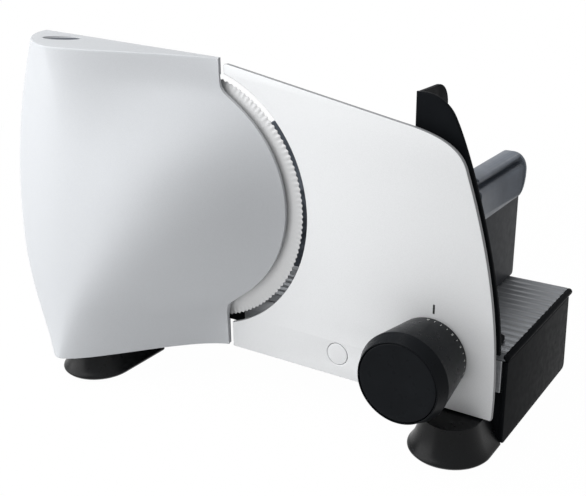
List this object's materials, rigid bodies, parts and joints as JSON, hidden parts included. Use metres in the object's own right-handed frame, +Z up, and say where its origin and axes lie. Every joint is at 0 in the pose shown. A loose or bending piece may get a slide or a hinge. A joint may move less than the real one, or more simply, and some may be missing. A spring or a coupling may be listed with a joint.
{
  "type": "food slicer",
  "caption": "Electric household food slicer: round serrated blade in a swept motor housing, screw-set stop plate, thickness knob and sliding food carriage.",
  "frame": {"origin": "on the table under the middle of the box round the slicer at rest", "axes": "+X along the cutting plane towards the operator's end, +Y across the blade towards the food side, +Z up"},
  "size_m": [0.3678, 0.2026, 0.232],
  "materials": {
    "silver_paint": "satin silver paint",
    "plate_silver": "satin light silver paint",
    "black_plastic": "moulded black plastic, soft sheen",
    "dark_grey": "moulded dark grey plastic, soft sheen",
    "tray_grey": "satin grey paint over ribs",
    "rail_grey": "drawn, satin",
    "button_grey": "moulded grey plastic",
    "steel": "ground and polished",
    "iron_stack": "stacked sheet iron",
    "bronze": "sintered",
    "copper": "enamelled wire and bars",
    "carbon": "pressed carbon",
    "gear_nylon": "natural nylon",
    "rubber": "matt black rubber"
  },
  "bodies": {
    "base": {"base_frame": "black_plastic", "thickness_spindle": "steel", "front_rail": "rail_grey", "end_panel": "black_plastic", "right_bell_foot": "black_plastic", "left_bell_foot": "black_plastic", "right_foot_pad": "rubber", "left_foot_pad": "rubber", "rear_left_foot": "rubber", "rear_right_foot": "rubber", "motor_housing": "silver_paint", "rear_cover": "silver_paint", "cover_screw_1": "steel", "cover_screw_2": "steel", "cover_screw_3": "steel", "cord_gland": "black_plastic", "drive_plate": "rail_grey", "blade_axle": "steel", "thrust_washer": "bronze", "motor_stator": "iron_stack", "field_coil_upper": "copper", "field_coil_lower": "copper", "rear_motor_bracket": "rail_grey", "rear_shaft_bush": "bronze", "front_motor_bracket": "rail_grey", "front_shaft_bush": "bronze", "carbon_brush_upper": "carbon", "carbon_brush_lower": "carbon", "switch_block": "black_plastic"},
    "blade_unit": {"blade": "steel", "blade_lock": "black_plastic", "blade_gear": "gear_nylon", "gear_bush": "bronze"},
    "rotor": {"motor_shaft": "steel", "armature": "iron_stack", "commutator": "copper"},
    "button": {"power_button": "button_grey", "button_spring": "steel"},
    "stop": {"stop_plate": "plate_silver", "plate_plug": "plate_silver", "plate_bracket": "rail_grey", "guide_rod_left": "steel", "guide_rod_right": "steel"},
    "knob": {"thickness_knob": "black_plastic", "knob_cap": "black_plastic", "knob_retainer": "steel"},
    "carriage": {"carriage_tray": "tray_grey", "tray_end_bead": "black_plastic", "carriage_runner": "black_plastic", "carriage_wall": "dark_grey", "hand_guard": "black_plastic", "guard_screw_1": "steel", "guard_screw_2": "steel"},
    "pusher": {"food_pusher": "dark_grey"}
  },
  "joints": [
    {"name": "blade_spin", "type": "hinge", "parent": "base", "child": "blade_unit", "pos_m": [-0.0389, -0.02725, 0.13], "axis": [0, 1, 0], "continuous": true},
    {"name": "rotor_spin", "type": "hinge", "parent": "base", "child": "rotor", "pos_m": [-0.0389, -0.04725, 0.1018], "axis": [1, 0, 0], "continuous": true},
    {"name": "knob_turn", "type": "hinge", "parent": "stop", "child": "knob", "pos_m": [0.1371, -0.03055, 0.0604], "axis": [0, -1, 0], "range_deg": [0, 300]},
    {"name": "plate_slide", "type": "slide", "parent": "base", "child": "stop", "axis": [0, -1, 0], "range_m": [0, 0.015]},
    {"name": "carriage_slide", "type": "slide", "parent": "base", "child": "carriage", "axis": [-1, 0, 0], "range_m": [0, 0.15]},
    {"name": "pusher_slide", "type": "slide", "parent": "carriage", "child": "pusher", "axis": [0, -1, 0], "range_m": [0, 0.04]},
    {"name": "button_press", "type": "slide", "parent": "base", "child": "button", "axis": [0, 0, -1], "range_m": [0, 0.003], "stiffness_N_per_m": 400, "springref_m": -0.001, "deforming": ["button_spring"]}
  ],
  "couplings": [
    {"joint": "rotor_spin", "follows": "blade_spin", "ratio": -40},
    {"joint": "knob_turn", "follows": "plate_slide", "rad_per_m": 349.07}
  ]
}
